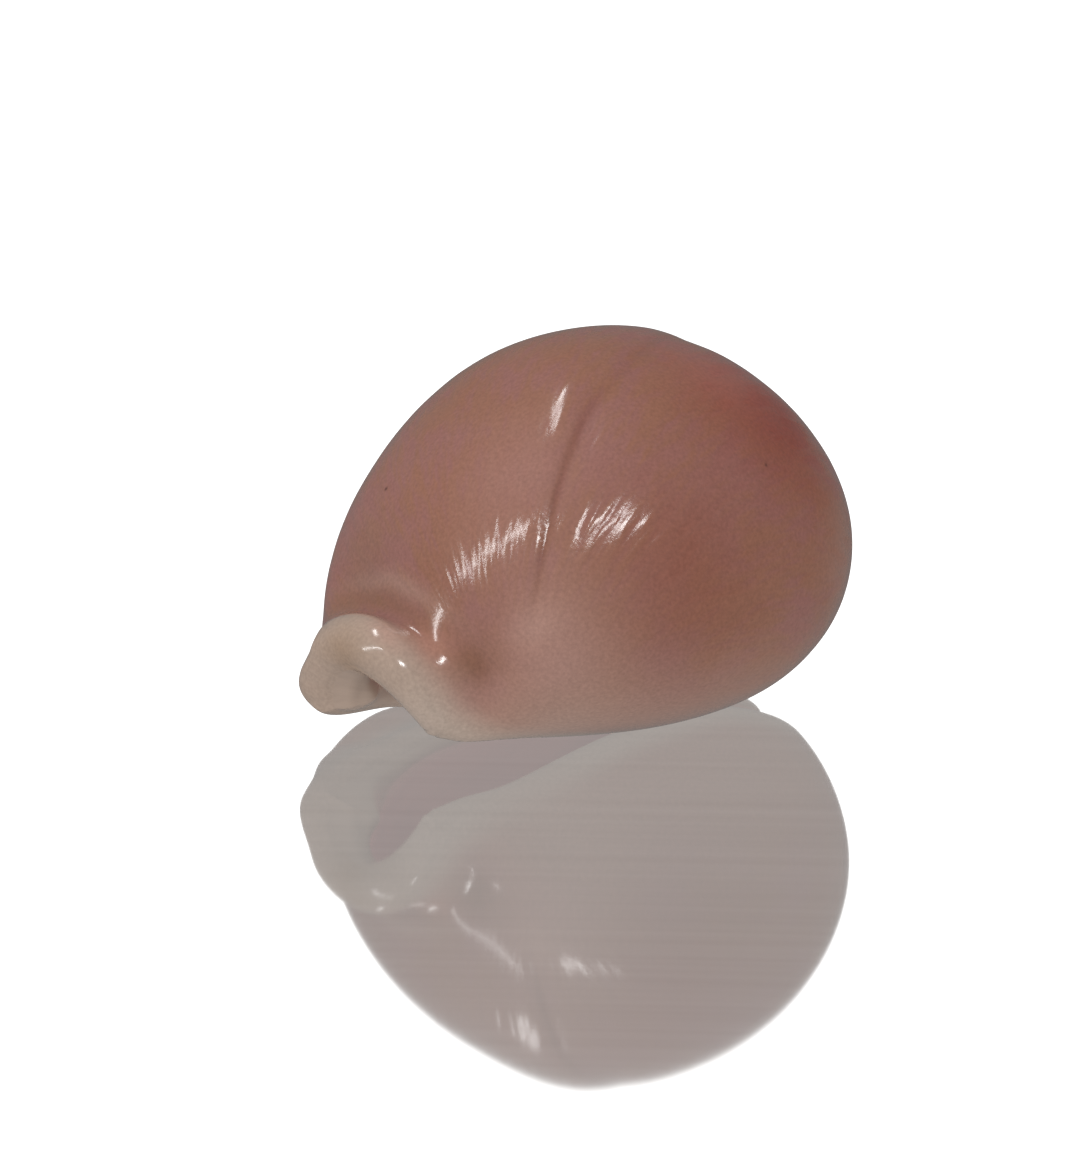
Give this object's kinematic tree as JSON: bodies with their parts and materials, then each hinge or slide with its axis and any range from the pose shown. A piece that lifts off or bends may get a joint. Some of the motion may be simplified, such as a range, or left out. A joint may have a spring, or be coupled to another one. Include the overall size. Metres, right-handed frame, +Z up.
{
  "type": "cowrie shell",
  "caption": "Small glossy, nearly round cowrie shell in mauve-pink, with a cream rolled collar round the front notch, standing on the two lips of its aperture.",
  "frame": {"origin": "middle of the bounding box at the base, where the lips rest", "axes": "-X towards the front end with the notch and collar, +X towards the back end; -Y towards the columellar side, +Y towards the outer lip; +Z up through the rounded back"},
  "size_m": [0.0214, 0.017, 0.0145],
  "materials": {
    "shell": "glassy natural polish on calcium carbonate"
  },
  "bodies": {
    "root": {"shell": "shell"}
  },
  "joints": []
}
